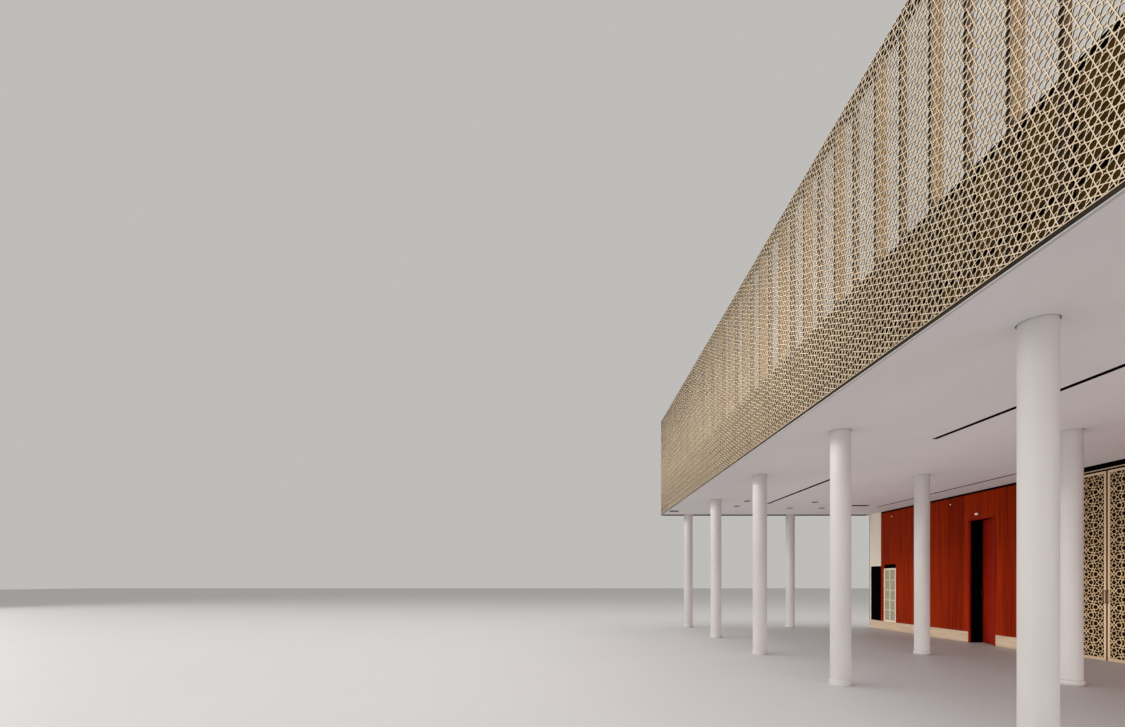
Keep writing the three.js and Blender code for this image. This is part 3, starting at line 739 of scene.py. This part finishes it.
# One hexagonal cell in the plane x = 0. Its border runs through the holes that neighbouring cells share.
def makeDoorCell():
    half = doorStar["pitch"] / 2
    wide, high = doorStar["diamond"]
    border, points, loops = [], [], []
    for k in range(6):
        points += turned([(doorStar["tip"], 0)], 60 * k) + turned([(doorStar["waist"], 0)], 60 * k + 30)
        corner = turned([(2 * half / math.sqrt(3), 0)], 60 * k)[0]
        for angle in (240, 200, 160, 120):
            border += turned([(doorStar["nonagon"], 0)], 60 * k + angle, corner)
        border += turned([(half, -high), (half - wide, 0), (half, high)], 60 * k + 30)
        loops += [turned(doorStar["chevron"], 60 * k), turned(doorStar["kite"], 60 * k + 30)]
    bm = bmesh.new()
    edges = []
    for loop in [border, points] + loops:
        corners = [bm.verts.new((0, *corner)) for corner in loop]
        edges += [bm.edges.new((corners[i - 1], corners[i])) for i in range(len(corners))]
    bmesh.ops.triangle_fill(bm, use_beauty=True, edges=edges)
    mesh = bpy.data.meshes.new("doorCell")
    bm.to_mesh(mesh)
    bm.free()
    return mesh


# Distances on a leaf run from the line where the leaves meet, and the sign tells which way
def leafSpan(span, sign):
    return sorted(meetingY + sign * distance for distance in span)


doorCell = makeDoorCell()
meetingY = sum(latticeDoorway["y"]) / 2
leafFront = side(surround["front"])
leafTop = latticeDoorway["top"] - jamb - leaf["topGap"]
for sideName, sign in (("near", -1), ("far", 1)):
    reach = (leaf["gap"], meetingY - latticeDoorway["y"][0] - jamb - leaf["gap"])
    opening = (reach[0] + leaf["rail"], reach[1] - leaf["rail"])
    ringTop = leafTop - leaf["topShadow"]
    heights = (leaf["bottom"] + leaf["rail"], ringTop - leaf["topRail"])
    plate = bmesh.new()
    across = doorStar["pitch"] * math.sqrt(3) / 2
    for rank in range(*doorStar["ranks"]):
        for row in range(*doorStar["rows"]):
            centre = (across * rank, doorStar["top"] + doorStar["pitch"] * (row + (rank % 2) / 2))
            first = len(plate.verts)
            plate.from_mesh(doorCell)
            plate.verts.ensure_lookup_table()
            bmesh.ops.translate(plate, verts=plate.verts[first:], vec=(0, *centre))
    bmesh.ops.remove_doubles(plate, verts=plate.verts, dist=doorStar["weld"])
    bmesh.ops.scale(plate, verts=plate.verts, vec=(1, doorStar["stretch"], 1))
    bmesh.ops.translate(plate, verts=plate.verts, vec=(0, doorStar["first"], 0))
    rim = leaf["rim"]
    inner = ((opening[0] + rim, opening[1] - rim), (heights[0] + rim, heights[1] - rim))
    for axis, limits in ((1, inner[0]), (2, inner[1])):
        for limit, facing in zip(limits, (-1, 1)):
            normal = Vector((0, 0, 0))
            normal[axis] = facing
            bmesh.ops.bisect_plane(plate, geom=plate.verts[:] + plate.edges[:] + plate.faces[:],
                                   plane_co=normal * facing * limit, plane_no=normal, clear_outer=True)
    extrudeFaces(plate, plate.faces[:], (leaf["plate"], 0, 0))
    for ys, zs in (((opening[0], inner[0][0]), heights), ((inner[0][1], opening[1]), heights),
                   (inner[0], (heights[0], inner[1][0])), (inner[0], (inner[1][1], heights[1]))):
        addBlock(plate, (0, leaf["plate"]), ys, zs)
    bmesh.ops.scale(plate, verts=plate.verts, vec=(1, sign, 1))
    bmesh.ops.translate(plate, verts=plate.verts, vec=(leafFront + leaf["inset"], meetingY, 0))
    body = f"lattice_door_{sideName}"
    # Painted shade on the plate's cut faces, darkest on those that look down
    finishPiece(plate, f"{body}_stars", paint["doorGold"], body=body, cutEdges=0.7)
    ring, gapShadow = bmesh.new(), bmesh.new()
    xs = (leafFront, leafFront + leaf["depth"])
    rebated = reach[0] + leaf["rebate"]
    for span in ((rebated, opening[0]), (opening[1], reach[1])):
        addBlock(ring, xs, leafSpan(span, sign), (leaf["bottom"], ringTop), leaf["bevel"])
    for zs in ((leaf["bottom"], heights[0]), (heights[1], ringTop)):
        addBlock(ring, (xs[0] + fit, xs[1] - fit), leafSpan(opening, sign), zs, leaf["bevel"])
    # Black strips above the ring and along the meeting edge paint the shade in the leaf's top gap and
    # rebate
    shadowBack = xs[1] - shadowStrips["back"]
    addBlock(gapShadow, (xs[0] + shadowStrips["top"], shadowBack), leafSpan(reach, sign), (ringTop, leafTop))
    addBlock(gapShadow, (xs[0] + shadowStrips["edge"], shadowBack), leafSpan((reach[0], rebated), sign),
             (leaf["bottom"], ringTop))
    finishPiece(ring, f"{body}_stiles", paint["roseGold"], body=body,
                instead=[f"{body}_frame"])
    finishPiece(gapShadow, f"{body}_seal", paint["blackVoid"], body=body)
bpy.data.meshes.remove(doorCell)
print("doors ready")

# Finishes of the nodes that keep their shape
kept = {
    "gallery_slab": "screed", "dark_panel": "blackVoid",
    "wall_near": "wallPaint", "wall_middle": "wallPaint", "wall_far": "wallPaint",
    "wall_over_doorway": "wallPaint", "wall_over_lattice_doors": "wallPaint",
    "skirting_near": "creamStone", "skirting_middle": "creamStone", "skirting_far": "creamStone",
    "lattice_door_near_panel": "doorBacking", "lattice_door_far_panel": "doorBacking",
    # The pulls' brown is rose gold darkened by painted shade
    "lattice_door_near_pull": "shadedPullGold", "lattice_door_far_pull": "shadedPullGold",
    "lattice_door_near_hinge": "darkBronze", "lattice_door_far_hinge": "darkBronze",
    "red_door_hinge": "darkBronze", "red_door_leaf": "redTrim", "red_door_pull": "darkBronze",
}
for name, finish in kept.items():
    materials = nodes[name].data.materials
    materials.clear()
    materials.append(paint[finish])

# Stage: a plain pale floor under soft studio light
stageSettings = {"size": 120, "z": -0.002, "air": (0.94, 0.92, 0.89), "strength": 0.55}
floorData = bmesh.new()
bmesh.ops.create_grid(floorData, x_segments=2, y_segments=2, size=stageSettings["size"],
                      matrix=Matrix.Translation((0, 0, stageSettings["z"])))
floorMesh = bpy.data.meshes.new("stageFloor")
floorData.to_mesh(floorMesh)
floorData.free()
stageFloor = bpy.data.objects.new("stageFloor", floorMesh)
scene.collection.objects.link(stageFloor)
floorLook = {"tones": ((0.595, 0.585, 0.585), (0.605, 0.595, 0.595)), "grain": (0.4, 0.4, 0.4),
             "roughness": (0.5, 0.6), "bump": ((20, 20, 20), 0.0005)}
floorMesh.materials.append(makeMaterial("stageFloor", floorLook))
stageFloor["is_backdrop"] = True

world = bpy.data.worlds.new("studio")
scene.world = world
world.use_nodes = True
background = world.node_tree.nodes["Background"]
background.inputs["Color"].default_value = (*stageSettings["air"], 1)
background.inputs["Strength"].default_value = stageSettings["strength"]

lights = [
    {"name": "leftWindow", "place": (-39, -3, 12), "aim": (0, 0, 3), "size": (51, 21), "power": 5175,
     "color": (1, 0.97, 0.95)},
    {"name": "screenWash", "place": (-9.5, 3.5, 5.6), "aim": (-3.33, 3.5, 5.3), "size": (14, 1.2),
     "power": 120, "color": (1, 0.96, 0.90), "spread": 50},
    {"name": "overhead", "place": (-8, 0, 24), "aim": (-4, 0, 0), "size": (30, 40), "power": 4800,
     "color": (1, 0.98, 0.97)},
    {"name": "nearFill", "place": (4, -28, 5), "aim": (1, 0, 2.6), "size": (24, 9), "power": 1400,
     "color": (1, 0.97, 0.96)},
    {"name": "floorFill", "place": (0.4, 0, 0.02), "aim": (0.4, 0, 4), "size": (6.2, 18), "power": 150,
     "color": (1, 0.97, 0.97)},
]
for settings in lights:
    data = bpy.data.lights.new(settings["name"], "AREA")
    data.shape = "RECTANGLE"
    data.size, data.size_y = settings["size"]
    data.energy = settings["power"]
    data.color = settings["color"]
    data.spread = math.radians(settings.get("spread", 180))
    lamp = bpy.data.objects.new(settings["name"], data)
    lamp.location = settings["place"]
    aim = Vector(settings["aim"]) - Vector(settings["place"])
    lamp.rotation_euler = aim.to_track_quat("-Z", "Y").to_euler()
    scene.collection.objects.link(lamp)
print("stage ready")

for bound in (cadBounds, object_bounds()):
    print("bounds", [round(value, 4) for corner in bound for value in corner])
